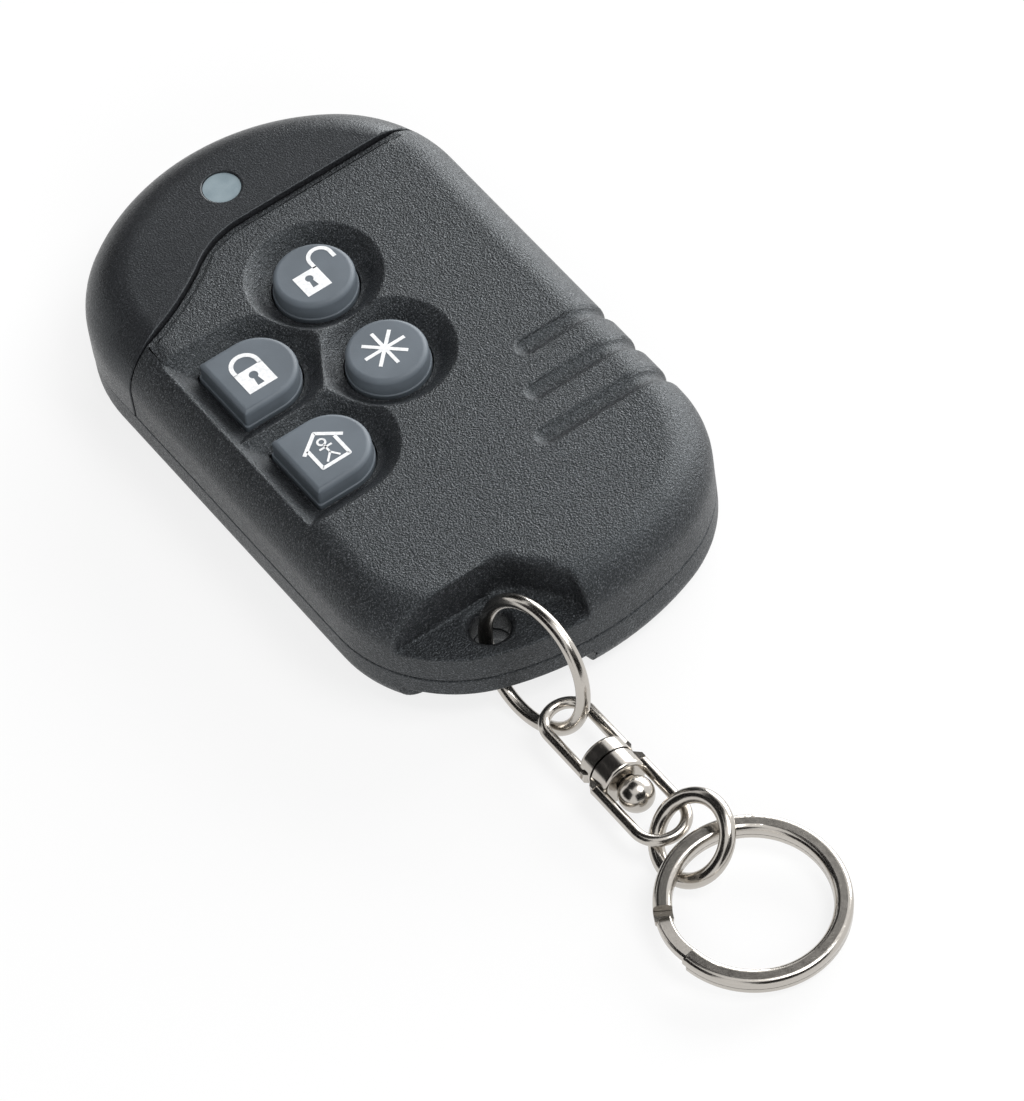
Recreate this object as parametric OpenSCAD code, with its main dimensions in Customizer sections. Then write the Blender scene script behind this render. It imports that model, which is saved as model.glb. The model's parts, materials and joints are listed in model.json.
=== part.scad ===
// Alarm key fob with four keys, an indicator lens and a key chain with a swivel and a split ring.
// It lies on its back. Millimetres, +Z up, +Y to the indicator end, +X to the grip grooves.

/* [Body] */
// Length of the body
body_len = 63; // [58:0.5:70]
// Width of the body
body_w = 36.2; // [34.5:0.1:42]
// Thickness of the body
body_h = 11.6; // [10.6:0.1:12.8]
// Depth of the parting line between the covers below the front face
seam_drop = 7.1; // [6.8:0.1:7.4]
// How much flatter than a half circle the indicator end is
cap_flat = 2.8; // [1.6:0.4:4]
// How much flatter than a half circle the ring end is
ring_flat = 9.72; // [6.48:0.648:11.664]
// Rounding of the front edge
front_edge_r = 4.0; // [2.5:0.1:4.5]
// Rounding of the rear edge
rear_edge_r = 2.5; // [1.6:0.1:3]
// Wall of the covers
wall = 1.4; // [1.1:0.1:1.6]

/* [Keys] */
// Diameter of a key
key_d = 7.2; // [6:0.1:8]
// Distance from key to key in one column
key_pitch = 11; // [10:0.1:12]
// Distance of the outer keys from the left side
key_side = 8.4; // [8.2:0.1:9]
// Height of the key tops over the front face
key_proud = 0.2; // [0:0.1:0.8]
// Stroke of a key
key_travel = 0.6; // [0.3:0.05:0.65]
// Depth of the key wells
well_depth = 1.8; // [1:0.1:2]
// Margin of a well round its key, at the front face
well_margin = 2.45; // [1.5:0.05:2.7]
// Margin of a well round its key, at the floor
well_floor_margin = 0.5; // [0.45:0.05:1]

/* [End cap] */
// Distance of the straight part of the cap line from the indicator end
cap_len = 11.2; // [9:0.1:12]
// How far the cap stands over the front cover
cap_proud = 0.3; // [0.1:0.05:0.5]
// Rounding of the cap's edge
cap_edge_r = 4.6; // [4:0.1:5]
// Width of the groove between the cap and the front cover
cap_gap = 0.1; // [0.1:0.05:0.3]
// Distance of the indicator lens from the indicator end
lens_from_end = 7.2; // [6:0.1:8]
// Diameter of the indicator lens
lens_d = 3.4; // [2.5:0.1:4.2]

/* [Grip grooves] */
// Radius of the round section of a groove
groove_r = 1.2; // [0.8:0.05:1.4]
// Depth of a groove
groove_depth = 0.5; // [0.3:0.05:0.7]
// Distance from groove to groove
groove_pitch = 4.5; // [3.5:0.1:5]
// Step of the groove ends from groove to groove
groove_step = 2.15; // [0:0.05:2.5]

/* [Ring eye] */
// Distance of the eye from the middle line, to the left
eye_x = 8.6; // [7.5:0.1:9]
// Distance of the eye from the ring end
eye_from_end = 4.8; // [4.6:0.1:5.2]
// Diameter of the eye
eye_d = 3.5; // [3.4:0.1:4]
// Depth of the front scoop below the front face
scoop_depth = 4.2; // [4:0.1:4.6]
// Height of the rear scoop's ceiling
scoop_rear_z = 2.6; // [2.4:0.1:3.2]

/* [Chain] */
// Wire of the jump ring
jump_wire = 1.25; // [1:0.05:1.3]
// Mean radius of the jump ring
jump_r = 5.92; // [5.8:0.02:6.1]
// Wire of the swivel links
link_wire = 1.05; // [0.9:0.05:1.05]
// Wire of the small ring
small_wire = 1.4; // [1.2:0.05:1.4]
// Mean radius of the small ring
small_r = 3.55; // [3.5:0.05:3.6]
// Outside diameter of the split ring
split_od = 16.4; // [16.2:0.1:18]
// Thickness of one turn of the split ring
split_turn = 0.85; // [0.7:0.05:0.9]

/* [Electronics] */
// Diameter of the coin cell
cell_d = 20; // [16:0.5:20]
// Thickness of the circuit board
board_t = 1.0; // [0.8:0.1:1]

/* [Hidden] */
$fa = 12;
$fs = 0.8;
fit_gap = 0.15;
cut = 1;
far = 2 * body_len;
half_w = body_w / 2;
seam_z = body_h - seam_drop;
scoop_z = body_h - scoop_depth;
cap_end_y = body_len / 2;
ring_end_y = -body_len / 2;
cap_dir = [0.6, 0.8];
cap_h = cap_flat / (1 - cap_dir[0]);
cap_corner_x = cap_h * cap_dir[0];
cap_re = half_w + cap_flat;
cap_rc = half_w - cap_corner_x;
cap_c0 = cap_end_y - cap_re;
cap_yc = cap_c0 + cap_h * cap_dir[1];
ring_dir = [0.352, 0.936];
ring_h = ring_flat / (1 - ring_dir[0]);
ring_corner_x = ring_h * ring_dir[0];
ring_re = half_w + ring_flat;
ring_rc = half_w - ring_corner_x;
ring_c0 = ring_end_y + ring_re;
ring_yc = ring_c0 - ring_h * ring_dir[1];

floor_z = wall;
ceiling_z = body_h - wall;
lip_h = 0.9;
board_z = seam_z + lip_h;
board_top = board_z + board_t;
lip_in = wall + 0.1;
lip_w = 0.7;
lip_root = 1.2;
lip_bite = 0.2;
board_gap = 0.4;
board_in = wall + board_gap;

key_r = key_d / 2;
key_top = body_h + key_proud;
key_round = 0.5;
skirt_w = 0.15;
skirt_h = 0.3;
well_z = body_h - well_depth;
well_t = 1.3;
well_wall = 0.2;
well_under = well_z - well_t;
flange_w = 0.8;
flange_h = 0.65;
flange_gap = 0.05;
key_root = 0.2;
flange_top = well_under - flange_gap;
nub_r = 1.5;
dome_r = 2.5;
dome_h = 0.5;
dome_t = 0.2;
nub_z = board_top + dome_h + key_travel + flange_gap;
mat_margin = 2.95;
mat_play = 0.3;
mat_foot = 1.2;
mat_hole = flange_w + mat_play;
mat_z = board_top + mat_foot;
mat_top = well_under;
mat_rim = 0.85;
key_col = half_w - key_side;
round_keys = [[0, key_pitch], [0, 0]];
side_keys = [[-key_col, key_pitch / 2], [-key_col, -key_pitch / 2]];
d_left = 0.35;

cap_line_y = cap_end_y - cap_len;
cap_r1 = 9;
cap_r2 = 29;
cap_turn = [-0.6, 0.8];
cap_x1 = -1.5;
cap_p1 = [cap_x1, cap_line_y - cap_r1];
cap_mid = cap_p1 + cap_r1 * cap_turn;
cap_p2 = cap_mid + cap_r2 * cap_turn;
cap_side = 0.05;
ledge_w = 0.8;
ledge_depth = 0.2;
tongue_w = 1.6;
tongue_t = 0.9;
tongue_drop = 0.1;
tongue_root = 2;
tongue_side = 4.1;
lens_x = -0.6;
lens_y = cap_end_y - lens_from_end;
lens_flange = 0.6;
lens_sink = 0.15;
lens_gap = 0.05;
flange_t = 0.7;
lens_up = 2.0;
lens_low = board_top + lens_up;

groove_lift = groove_r - groove_depth;
groove_y0 = -7.2;
groove_x0 = 9.475;
groove_low = seam_z + 1.6;

eye = [-eye_x, ring_end_y + eye_from_end];
eye_flare = 0.45;
scoop_r = 2.2;
scoop_run = 4.6;
scoop_n = [0.8, 0.6];
scoop_side = 2.0;
scoop_back = 0.5;
scoop_k1 = eye + [scoop_side, scoop_back];
scoop_k2 = scoop_k1 + scoop_run * [scoop_n[1], -scoop_n[0]];

jump_yaw = 7.8;
jump_lean = 12.8;
jump_side = 0.8;
jump_out = 5.13;
jump_z = 6.39;
jump_c = [eye[0] + jump_side, eye[1] - jump_out, jump_z];
swivel_side = 1.0;
swivel_x = eye[0] + swivel_side;
swivel_z = 2.5;
link_r = link_wire / 2;
upper_half = 2.1;
upper_out = 7.17;
upper_bow_y = eye[1] - upper_out;
gap_out = 15.3;
gap_y = eye[1] - gap_out;
swivel_gap = 0.12;
leg_sink = 0.3;
plate_t = 1.0;
plate_h = 1.1;
plate_in = 0.15;
shoulder = 0.55;
collar_r = 2.25;
collar_l = 0.6;
collar_round = 0.35;
lower_collar_r = 2.15;
shank_r = 0.8;
head_r = 1.6;
head_back = 1.35;
rivet_r = 1.3;
rivet_tip_r = 1.0;
rivet_t = 0.4;
rivet_gap = 0.05;
lower_half = 2.33;
lower_out = 24.25;
lower_bow_y = eye[1] - lower_out;
lower_collar_l = 0.9;
head_y = gap_y - swivel_gap - plate_t - lower_collar_l - swivel_gap - head_back;
small_side = 1.75;
small_out = 25.6;
small_z = 2.95;
small_c = [eye[0] + small_side, eye[1] - small_out, small_z];
small_tilt = 39;
ring_side_x = 2.1;
ring_out = 33.32;
ring_z = 1.05;
split_c = [eye[0] + ring_side_x, eye[1] - ring_out, ring_z];
split_far_up = 6.3;
split_side = 1.8;
split_w = 1.6;
split_round = 0.5;
split_slim = 0.12;
ramp_round = 0.25;
split_start = 173;
split_gap = 0.05;
split_rm = split_od / 2 - split_w / 2;

cell_y = 4;
cell_c = [0, cell_y];
cell_lift = 0.65;
cell_z = floor_z + cell_lift;
pad_t = 0.15;
cell_h = board_z - cell_z - pad_t;
cell_edge = 0.3;
cell_rim = 1.3;
pad_gap = 0.02;
pad_r = cell_d / 5;
clip_t = 0.25;
clip_w = 5;
clip_gap = 0.05;
led_w = 3.2;
led_l = 2.8;
led_h = 1.2;
chip_w = 4.0;
chip_l = 5.0;
chip_h = 1.5;
chip_lift = 0.1;
chip_in = 7.1;
chip_at = [half_w - chip_in, chip_l];
lead_pitch = 1.27;
lead_w = 0.4;
lead_l = 1.0;
lead_h = 0.6;
can_r = 1.6;
can_h = 2.4;
can_rim = 0.3;
can_in = 7.3;
can_y = -4.6;
can_at = [half_w - can_in, can_y];
small_in = 10.1;
small_y = 14.0;
small_at = [half_w - small_in, small_y];
small_pitch = 1.5;
small_w = 0.8;
small_l = 1.6;
loop_wire = 0.4;
loop_bend = 1.2;
loop_in = 5.1;
loop_w = 10.4;
loop_l = 12.0;
loop_up = 10.5;
loop_x1 = half_w - loop_in;
loop_x0 = loop_x1 - loop_w;
loop_y0 = ring_end_y + loop_up;
loop_y1 = loop_y0 + loop_l;

// Half section of a rounded slab, from the axis out to radius r
module half_section(r, z0, z1, rt, rb) {
    difference() {
        translate([0, z0]) square([r, z1 - z0]);
        if (rt > 0) {
            translate([r - rt, z1 - rt]) difference() {
                square([rt + cut, rt + cut]);
                circle(rt);
            }
        }
        if (rb > 0) {
            translate([r - rb, z0 + rb]) difference() {
                translate([0, -rb - cut]) square([rb + cut, rb + cut]);
                circle(rb);
            }
        }
    }
}

// Whole section of the straight middle
module full_section(r, z0, z1, rt, rb) {
    difference() {
        translate([-r, z0]) square([2 * r, z1 - z0]);
        for (s = [0, 1]) mirror([s, 0]) {
            if (rt > 0) {
                translate([r - rt, z1 - rt]) difference() {
                    square([rt + cut, rt + cut]);
                    circle(rt);
                }
            }
            if (rb > 0) {
                translate([r - rb, z0 + rb]) difference() {
                    translate([0, -rb - cut]) square([rb + cut, rb + cut]);
                    circle(rb);
                }
            }
        }
    }
}

// Plan of the body, inset by i
module plan(i) {
    r = half_w - i;
    jt = [(cap_re - i) * cap_dir[0], cap_c0 + (cap_re - i) * cap_dir[1]];
    jb = [(ring_re - i) * ring_dir[0], ring_c0 - (ring_re - i) * ring_dir[1]];
    cap_box = cap_rc + 10;
    ring_box = ring_rc + 10;
    union() {
        polygon([[r, ring_yc], [r, cap_yc], jt, [-jt[0], jt[1]],
            [-r, cap_yc], [-r, ring_yc], [-jb[0], jb[1]], jb]);
        intersection() {
            translate([0, cap_c0]) circle(cap_re - i);
            translate([-jt[0], jt[1] - 2]) square([2 * jt[0], 40]);
        }
        intersection() {
            translate([0, ring_c0]) circle(ring_re - i);
            translate([-jb[0], jb[1] - 38]) square([2 * jb[0], 40]);
        }
        for (s = [-1, 1]) {
            intersection() {
                translate([s * cap_corner_x, cap_yc]) circle(cap_rc - i);
                translate([s * (cap_corner_x + cap_box / 2), cap_yc + 20])
                    square([cap_box, 40], center = true);
            }
            intersection() {
                translate([s * ring_corner_x, ring_yc]) circle(ring_rc - i);
                translate([s * (ring_corner_x + ring_box / 2), ring_yc - 20])
                    square([ring_box, 40], center = true);
            }
        }
    }
}

// Section that rounding an edge at radius r takes away, below z = 0
module spandrel(r, e) {
    translate([r - e, -e]) difference() {
        square([e + cut, e + cut]);
        circle(e);
    }
}

// Edge cut along one straight side, the left one with s = 1
module edge_side(s, i, e) {
    mirror([s, 0, 0]) translate([0, cap_yc, 0]) rotate([90, 0, 0]) linear_extrude(cap_yc - ring_yc)
        spandrel(half_w - i, e);
}

// Edge cut along the end arc with centre y0, radius r and turned to +Y by d = 1
module edge_end(y0, d, dir, r, e) {
    translate([0, y0, 0]) intersection() {
        rotate_extrude() spandrel(r, e);
        translate([0, 0, -e - cut]) linear_extrude(e + 3 * cut)
            polygon([[0, 0], [50 * dir[0], d * 50 * dir[1]], [0, d * 80], [-50 * dir[0], d * 50 * dir[1]]]);
    }
}

// Edge cut along one corner arc
module edge_corner(s, x0, y0, d, dir, r, e) {
    mirror([s, 0, 0]) translate([x0, y0, 0]) intersection() {
        rotate_extrude() spandrel(r, e);
        translate([0, 0, -e - cut]) linear_extrude(e + 3 * cut)
            polygon([[0, 0], [50, 0], [50, d * 50], [50 * dir[0], d * 50 * dir[1]]]);
    }
}

// Slab with the plan of the body, inset by i, from z0 to z1, with its upper edge rounded by e
module topped(i, z0, z1, e) {
    translate([0, 0, z1]) difference() {
        translate([0, 0, z0 - z1]) linear_extrude(z1 - z0) plan(i);
        edge_side(0, i, e);
        edge_side(1, i, e);
        edge_end(cap_c0, 1, cap_dir, cap_re - i, e);
        edge_end(ring_c0, -1, ring_dir, ring_re - i, e);
        edge_corner(0, cap_corner_x, cap_yc, 1, cap_dir, cap_rc - i, e);
        edge_corner(1, cap_corner_x, cap_yc, 1, cap_dir, cap_rc - i, e);
        edge_corner(0, ring_corner_x, ring_yc, -1, ring_dir, ring_rc - i, e);
        edge_corner(1, ring_corner_x, ring_yc, -1, ring_dir, ring_rc - i, e);
    }
}

// Plain slab with the plan of the body, inset by i, from z0 to z1
module slab(i, z0, z1) {
    translate([0, 0, z0]) linear_extrude(z1 - z0) plan(i);
}

// Plan of the front cover's side of the cap line, grown by g
module front_side(g) {
    difference() {
        union() {
            polygon([[far, cap_line_y + g], [cap_x1, cap_line_y + g], cap_mid,
                [-far, cap_mid[1]], [-far, -far], [far, -far]]);
            translate(cap_p1) circle(cap_r1 + g);
        }
        translate(cap_p2) circle(cap_r2 - g);
        translate([cap_p2[0] - far, cap_p2[1] - cap_r2 + g]) square([far, far]);
    }
}

// Plan of the scoop round the ring eye, grown by g
module scoop_plan(g) {
    r = scoop_r + g;
    polygon([[-far, scoop_k1[1] + r], scoop_k1 + [0, r], scoop_k1 + r * scoop_n, scoop_k2 + r * scoop_n,
        scoop_k2 + [r, 0], [scoop_k2[0] + r, -far], [-far, -far]]);
    translate(scoop_k1) circle(r);
    translate(scoop_k2) circle(r);
}

// Through hole of the ring eye
module eye_cut(z0, z1) {
    translate([eye[0], eye[1], z0 - cut]) cylinder(h = z1 - z0 + 2 * cut, d = eye_d);
}

// Plan of a round key, grown by g
module round_plan(g) {
    circle(key_r + g);
}

// Plan of a D-shaped key, grown by g
module side_plan(g) {
    circle(key_r + g);
    translate([-key_r - g, -key_r - g]) square([key_r + g, 2 * (key_r + g)]);
}

// Plan of all keys, grown by g
module keys_plan(g) {
    for (p = round_keys) translate(p) round_plan(g);
    for (p = side_keys) translate(p) side_plan(g);
}

// Cut of a round well, wider towards the face
module round_well() {
    over = 0.6;
    rise = (well_margin - well_floor_margin) / well_depth;
    translate([0, 0, well_z])
        cylinder(h = well_depth + over, r1 = key_r + well_floor_margin,
            r2 = key_r + well_margin + over * rise);
}

// Cut of a D-shaped well, with ramps on its three flat sides
module side_well() {
    over = 0.6;
    rise = (well_margin - well_floor_margin) / well_depth;
    lo = key_r + well_floor_margin;
    hi = key_r + well_margin + over * rise;
    round_well();
    intersection() {
        rotate([90, 0, -90]) linear_extrude(20)
            polygon([[-lo, well_z], [lo, well_z], [hi, body_h + over], [-hi, body_h + over]]);
        translate([0, 20, 0]) rotate([90, 0, 0]) linear_extrude(40)
            polygon([[0, well_z], [0, body_h + over], [-hi - d_left, body_h + over], [-lo, well_z]]);
    }
}

// Cut of one grip groove over the face, the rounded edge and the side
module groove(x, y) {
    edge_x = half_w - front_edge_r;
    edge_z = body_h - front_edge_r;
    translate([x, y, body_h + groove_lift]) sphere(groove_r);
    translate([x, y, body_h + groove_lift]) rotate([0, 90, 0]) cylinder(h = edge_x - x, r = groove_r);
    translate([edge_x, y, edge_z]) rotate([90, 0, 0]) rotate_extrude(angle = 90)
        translate([front_edge_r + groove_lift, 0]) circle(groove_r);
    translate([half_w + groove_lift, y, groove_low]) cylinder(h = edge_z - groove_low, r = groove_r);
    translate([half_w + groove_lift, y, groove_low]) sphere(groove_r);
}

module front_cover() color([0.16, 0.17, 0.18]) {
    difference() {
        intersection() {
            topped(0, seam_z, body_h, front_edge_r);
            linear_extrude(body_h + cut) front_side(-cap_gap);
        }
        difference() {
            topped(wall, seam_z - cut, ceiling_z, front_edge_r - wall);
            translate([0, 0, seam_z - cut]) linear_extrude(body_h) scoop_plan(wall);
            translate([0, 0, well_under]) linear_extrude(body_h) keys_plan(well_margin + well_wall);
        }
        for (p = round_keys) translate(p) round_well();
        for (p = side_keys) translate(p) side_well();
        translate([0, 0, well_under - cut]) linear_extrude(body_h) keys_plan(skirt_w + fit_gap);
        for (i = [0:2]) groove(groove_x0 - i * groove_step, groove_y0 - i * groove_pitch);
        translate([0, 0, scoop_z]) linear_extrude(body_h) scoop_plan(0);
        eye_cut(seam_z, scoop_z);
        translate([eye[0], eye[1], scoop_z - eye_flare])
            cylinder(h = 2 * eye_flare, r1 = eye_d / 2, r2 = eye_d / 2 + 2 * eye_flare);
        translate([0, 0, body_h - ledge_depth]) linear_extrude(cut) difference() {
            front_side(0);
            front_side(-ledge_w);
        }
    }
    intersection() {
        slab(wall + fit_gap, ceiling_z - tongue_drop - tongue_t, ceiling_z - tongue_drop);
        linear_extrude(body_h) difference() {
            front_side(tongue_w);
            front_side(-tongue_root);
        }
        linear_extrude(body_h) difference() {
            square([2 * (half_w - tongue_side), 2 * body_len], center = true);
            keys_plan(well_margin + tongue_drop);
        }
    }
    intersection() {
        slab(wall + fit_gap, ceiling_z - tongue_t, ceiling_z + ledge_depth);
        linear_extrude(body_h) difference() {
            front_side(-cap_gap);
            front_side(-tongue_root);
        }
        linear_extrude(body_h) difference() {
            square([2 * (half_w - tongue_side), 2 * body_len], center = true);
            keys_plan(well_margin + tongue_drop);
        }
    }
}

module end_cap() color([0.11, 0.12, 0.13]) difference() {
    topped(-cap_side, seam_z, body_h + cap_proud, cap_edge_r);
    translate([0, 0, seam_z - cut]) linear_extrude(body_h + 3) front_side(0);
    topped(wall, seam_z - cut, ceiling_z, front_edge_r - wall);
    translate([lens_x, lens_y, board_top]) cylinder(h = body_h, d = lens_d + 2 * lens_gap);
}

module rear_cover() color([0.14, 0.15, 0.16]) difference() {
    union() {
        difference() {
            mirror([0, 0, 1]) topped(0, -seam_z, 0, rear_edge_r);
            difference() {
                mirror([0, 0, 1]) topped(wall, -seam_z - cut, -floor_z, rear_edge_r - wall);
                linear_extrude(seam_z + 2) scoop_plan(wall);
            }
        }
        difference() {
            slab(lip_in, seam_z - lip_root, board_z);
            slab(lip_in + lip_w, seam_z - lip_root - cut, board_z + cut);
            linear_extrude(body_h) scoop_plan(wall + fit_gap);
        }
        difference() {
            slab(wall - lip_bite, seam_z - lip_root, seam_z - fit_gap);
            slab(lip_in + lip_w, seam_z - lip_root - cut, board_z + cut);
            linear_extrude(body_h) scoop_plan(wall + fit_gap);
        }
    }
    translate([0, 0, -cut]) linear_extrude(scoop_rear_z + cut) scoop_plan(0);
    eye_cut(scoop_rear_z, seam_z);
    translate([eye[0], eye[1], scoop_rear_z - eye_flare])
        cylinder(h = 2 * eye_flare, r1 = eye_d / 2 + 2 * eye_flare, r2 = eye_d / 2);
}

module light_pipe() color([0.78, 0.84, 0.9]) translate([lens_x, lens_y, 0]) {
    translate([0, 0, lens_low]) cylinder(h = body_h + cap_proud - lens_sink - lens_low, d = lens_d);
    translate([0, 0, ceiling_z - lens_gap - flange_t]) cylinder(h = flange_t, d = lens_d + 2 * lens_flange);
}

module keypad_mat() color([0.3, 0.32, 0.34]) difference() {
    translate([0, 0, board_top]) linear_extrude(mat_top - board_top) keys_plan(mat_margin);
    translate([0, 0, board_top - cut]) linear_extrude(mat_z - board_top + cut)
        keys_plan(mat_margin - mat_rim);
    translate([0, 0, board_top]) linear_extrude(body_h) keys_plan(mat_hole);
}

// Round key with its skirt, flange and nub
module round_key() color([0.44, 0.47, 0.5]) {
    rotate_extrude() half_section(key_r, flange_top - key_root, key_top, key_round, 0);
    translate([0, 0, flange_top - key_root])
        cylinder(h = well_z + skirt_h - flange_top + key_root, r = key_r + skirt_w);
    translate([0, 0, flange_top - flange_h]) cylinder(h = flange_h, r = key_r + flange_w);
    translate([0, 0, nub_z]) cylinder(h = flange_top - nub_z, r = nub_r);
}

// D-shaped key with its skirt, flange and nub
module side_key() color([0.44, 0.47, 0.5]) {
    rotate([0, 0, -90]) rotate_extrude(angle = 180)
        half_section(key_r, flange_top - key_root, key_top, key_round, 0);
    intersection() {
        rotate([90, 0, -90]) linear_extrude(key_r)
            full_section(key_r, flange_top - key_root, key_top, key_round, 0);
        translate([0, key_r + cut, 0]) rotate([90, 0, 0]) linear_extrude(2 * key_r + 2 * cut)
            mirror([1, 0]) half_section(key_r, flange_top - key_root, key_top, key_round, 0);
    }
    translate([0, 0, flange_top - key_root]) linear_extrude(well_z + skirt_h - flange_top + key_root)
        side_plan(skirt_w);
    translate([0, 0, flange_top - flange_h]) linear_extrude(flange_h) side_plan(flange_w);
    translate([0, 0, nub_z]) cylinder(h = flange_top - nub_z, r = nub_r);
}

module key_unlock() translate(round_keys[0]) round_key();

module key_star() translate(round_keys[1]) round_key();

module key_lock() translate(side_keys[0]) side_key();

module key_home() translate(side_keys[1]) side_key();

// Snap dome with its centre over the origin
module dome() color([0.8, 0.8, 0.82]) translate([0, 0, board_top]) difference() {
    cylinder(h = dome_h, r1 = dome_r, r2 = dome_r - 1);
    translate([0, 0, -dome_t]) cylinder(h = dome_h, r1 = dome_r - dome_t, r2 = dome_r - 1 - dome_t);
}

module dome_unlock() translate(round_keys[0]) dome();

module dome_star() translate(round_keys[1]) dome();

module dome_lock() translate(side_keys[0]) dome();

module dome_home() translate(side_keys[1]) dome();

module circuit_board() color([0.1, 0.35, 0.2]) difference() {
    slab(board_in, board_z, board_top);
    translate([0, 0, board_z - cut]) linear_extrude(board_t + 2 * cut) scoop_plan(wall + board_gap);
}

module led() color([0.9, 0.92, 0.95]) translate([lens_x, lens_y, board_top]) {
    translate([-led_w / 2, -led_l / 2, 0]) cube([led_w, led_l, led_h]);
    translate([0, 0, led_h]) cylinder(h = dome_h, r1 = led_h, r2 = led_h - chip_lift * 3);
}

module control_chip() color([0.08, 0.08, 0.09]) translate([chip_at[0], chip_at[1], board_top]) {
    translate([-chip_w / 2, -chip_l / 2, chip_lift]) cube([chip_w, chip_l, chip_h]);
    for (s = [-1, 1]) for (i = [0:3]) {
        translate([s * (chip_w / 2 + lead_w) - lead_l / 2, (i - 1.5) * lead_pitch - lead_w / 2, 0])
            cube([lead_l, lead_w, lead_h]);
    }
}

// Plan of the resonator can, grown by g
module can_plan(g) {
    translate([-can_r, 0]) circle(can_r + g);
    translate([can_r, 0]) circle(can_r + g);
    square([2 * can_r, 2 * (can_r + g)], center = true);
}

module resonator() color([0.75, 0.76, 0.78]) translate([can_at[0], can_at[1], board_top]) {
    linear_extrude(lead_w) can_plan(can_rim);
    linear_extrude(can_h) can_plan(0);
}

module chip_parts() color([0.7, 0.6, 0.45]) {
    for (i = [0:4]) {
        translate([small_at[0] + i * small_pitch, small_at[1], board_top]) cube([small_w, small_l, small_w]);
    }
}

// Flat wire loop on the board, open at one corner
module antenna_loop() color([0.8, 0.55, 0.3]) translate([0, 0, board_top + loop_wire]) {
    run_x = loop_x1 - loop_x0 - 2 * loop_bend;
    run_y = loop_y1 - loop_y0 - 2 * loop_bend;
    translate([loop_x0 + loop_bend, loop_y0, 0]) rotate([0, 90, 0]) cylinder(h = run_x, r = loop_wire);
    translate([loop_x0 + loop_bend, loop_y1, 0]) rotate([0, 90, 0]) cylinder(h = run_x, r = loop_wire);
    translate([loop_x1, loop_y0 + loop_bend, 0]) rotate([-90, 0, 0]) cylinder(h = run_y, r = loop_wire);
    translate([loop_x0, loop_y0 + loop_bend, 0]) rotate([-90, 0, 0])
        cylinder(h = run_y - 2 * loop_bend, r = loop_wire);
    translate([loop_x1 - loop_bend, loop_y0 + loop_bend, 0]) rotate([0, 0, -90]) loop_corner();
    translate([loop_x1 - loop_bend, loop_y1 - loop_bend, 0]) loop_corner();
    translate([loop_x0 + loop_bend, loop_y0 + loop_bend, 0]) rotate([0, 0, 180]) loop_corner();
}

// Quarter bend of the antenna wire
module loop_corner() {
    rotate_extrude(angle = 90) translate([loop_bend, 0]) circle(loop_wire);
}

module coin_cell() color([0.78, 0.78, 0.8]) translate([cell_c[0], cell_c[1], cell_z]) {
    rotate_extrude() half_section(cell_d / 2, 0, cell_h - cell_edge, 0, cell_edge);
    cylinder(h = cell_h, r = cell_d / 2 - cell_rim);
}

module cell_clip() color([0.8, 0.78, 0.7]) translate([cell_c[0], cell_c[1], cell_z - clip_gap - clip_t]) {
    reach = cell_d / 2 + clip_t;
    translate([-reach - clip_t, -clip_w / 2, 0]) cube([2 * (reach + clip_t), clip_w, clip_t]);
    for (s = [0, 1]) mirror([s, 0, 0]) {
        translate([reach, -clip_w / 2, 0]) cube([clip_t, clip_w, board_z - cell_z + clip_gap + clip_t]);
    }
}

module cell_pad() color([0.85, 0.7, 0.35]) translate([cell_c[0], cell_c[1], cell_z + cell_h + pad_gap])
    cylinder(h = pad_t - pad_gap, r = pad_r);

module jump_ring() color([0.8, 0.8, 0.82]) translate(jump_c)
    rotate([0, 0, jump_yaw]) rotate([0, jump_lean + 90, 0])
        rotate_extrude() translate([jump_r, 0]) circle(d = jump_wire);

// Wire bow with two straight legs, its apex at the origin and the legs going to +Y
module bow(half, leg) {
    translate([0, half, 0]) rotate([0, 0, 180]) rotate_extrude(angle = 180)
        translate([half, 0]) circle(link_r);
    for (s = [-1, 1]) translate([s * half, half, 0]) rotate([-90, 0, 0]) cylinder(h = leg - half, r = link_r);
}

// Cross bar of a link with bevelled shoulders, from y = 0 down to -plate_t, and its round collar
module swivel_end(half, r, l) {
    w = half + link_r - plate_in;
    translate([0, 0, -plate_h / 2]) linear_extrude(plate_h) polygon([[-w, -plate_t], [-w, -shoulder],
        [shoulder - w, 0], [w - shoulder, 0], [w, -shoulder], [w, -plate_t]]);
    rotate([90, 0, 0]) rotate_extrude() half_section(r, 0, plate_t + l, collar_round, 0);
}

module upper_link() color([0.78, 0.78, 0.8]) difference() {
    union() {
        translate([swivel_x, upper_bow_y, swivel_z]) rotate([0, 0, 180])
            bow(upper_half, upper_bow_y - gap_y - leg_sink - shoulder);
        translate([swivel_x, gap_y, swivel_z]) rotate([0, 0, 180]) swivel_end(upper_half, collar_r, collar_l);
    }
    translate([swivel_x, gap_y - cut, swivel_z]) rotate([-90, 0, 0])
        cylinder(h = plate_t + collar_l + 2 * cut, r = shank_r);
}

module swivel_rivet() color([0.82, 0.82, 0.84]) translate([swivel_x, 0, swivel_z]) {
    back_y = gap_y + plate_t + collar_l + rivet_gap;
    translate([0, head_y, 0]) rotate([-90, 0, 0]) cylinder(h = back_y + rivet_t / 2 - head_y, r = shank_r);
    translate([0, head_y, 0]) intersection() {
        sphere(head_r);
        translate([-2 * head_r, head_back - 4 * head_r, -2 * head_r]) cube(4 * head_r);
    }
    translate([0, back_y, 0]) rotate([-90, 0, 0]) cylinder(h = rivet_t, r1 = rivet_r, r2 = rivet_tip_r);
}

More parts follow.
